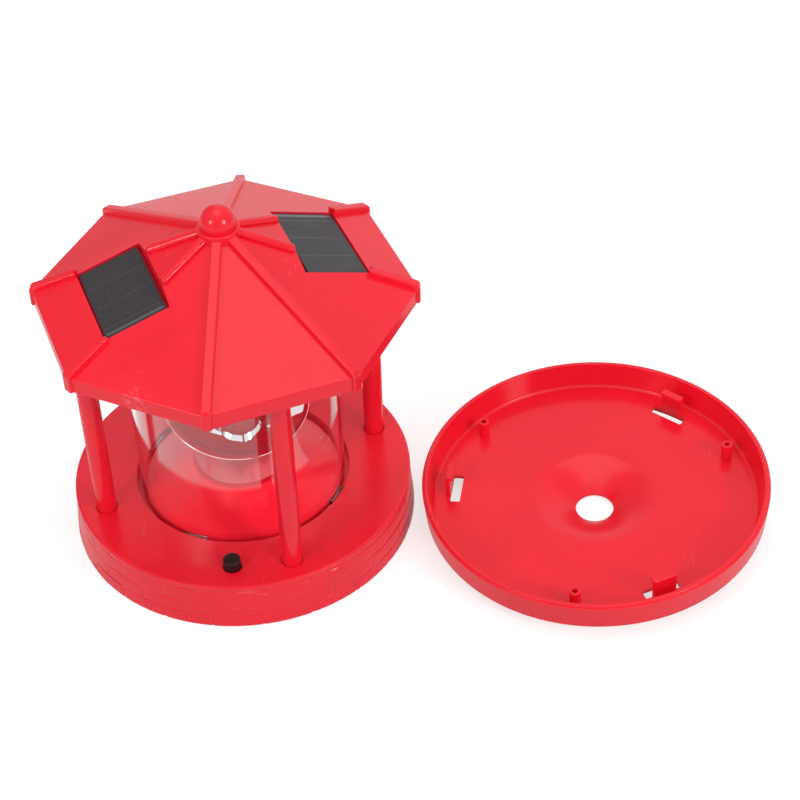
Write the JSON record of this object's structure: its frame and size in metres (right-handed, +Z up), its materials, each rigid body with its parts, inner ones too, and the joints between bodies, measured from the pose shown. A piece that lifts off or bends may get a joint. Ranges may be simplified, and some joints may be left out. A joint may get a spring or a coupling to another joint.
{
  "type": "solar lighthouse lantern head",
  "caption": "Solar lantern head for a garden lighthouse: ribbed roof with ball and sunk panels, clear tube, turning mirror beacon, brick-pattern base, and its loose round mounting dish.",
  "frame": {"origin": "middle of the lantern's flat underside, on the surface it stands on", "axes": "+Z up along the lantern's axis, -Y towards the switch and the viewer, +X towards the loose mounting dish"},
  "size_m": [0.3078, 0.167, 0.1597],
  "materials": {
    "red_plastic": "satin red moulded plastic",
    "black_plastic": "satin black plastic",
    "white_plastic": "natural white plastic",
    "clear_plastic": "clear polished acrylic",
    "silver_finish": "bright metallised plastic",
    "mirror_finish": "bright metallised mirror",
    "steel": "zinc-plated steel",
    "cell_wrap": "plain green wrapped cell",
    "board": "green printed circuit board",
    "solar_cell": "dark cells under clear resin",
    "rubber_seal": "soft black rubber",
    "foam_pad": "adhesive foam",
    "led_resin": "clear round-nosed resin"
  },
  "bodies": {
    "lantern": {"base_housing": "red_plastic", "bottom_cover": "red_plastic", "cover_screws": "steel", "battery_door": "red_plastic", "battery": "cell_wrap", "battery_contacts": "steel", "circuit_board": "board", "board_parts": "black_plastic", "switch_body": "black_plastic", "lamp_floor": "red_plastic", "motor": "steel", "led_holder": "white_plastic", "led": "led_resin", "clear_tube": "clear_plastic", "tube_seal": "rubber_seal", "post_right": "red_plastic", "post_back": "red_plastic", "post_left": "red_plastic", "post_front": "red_plastic", "post_screws": "steel", "ceiling_plate": "red_plastic", "ceiling_screws": "steel", "roof_shell": "red_plastic", "finial": "red_plastic", "solar_panel_left": "solar_cell", "solar_panel_right": "solar_cell", "panel_pads": "foam_pad"},
    "beacon": {"drive_gear": "white_plastic", "drum": "silver_finish", "reflector": "mirror_finish"},
    "pinion": {"motor_pinion": "steel"},
    "button": {"switch_button": "black_plastic"},
    "dish": {"mounting_dish": "red_plastic"}
  },
  "joints": [
    {"name": "beacon_spin", "type": "hinge", "parent": "lantern", "child": "beacon", "pos_m": [0, 0, 0.03], "axis": [0, 0, 1], "continuous": true},
    {"name": "pinion_spin", "type": "hinge", "parent": "lantern", "child": "pinion", "pos_m": [0, -0.02105, 0.015], "axis": [0, 0, 1], "continuous": true},
    {"name": "button_press", "type": "slide", "parent": "lantern", "child": "button", "axis": [0, 0, -1], "range_m": [0, 0.0016], "stiffness_N_per_m": 400, "springref_m": -0.002},
    {"name": "dish_lift", "type": "slide", "parent": "lantern", "child": "dish", "axis": [0, 0, 1], "range_m": [0, 0.06]}
  ],
  "couplings": [
    {"joint": "pinion_spin", "follows": "beacon_spin", "ratio": -4.2}
  ]
}
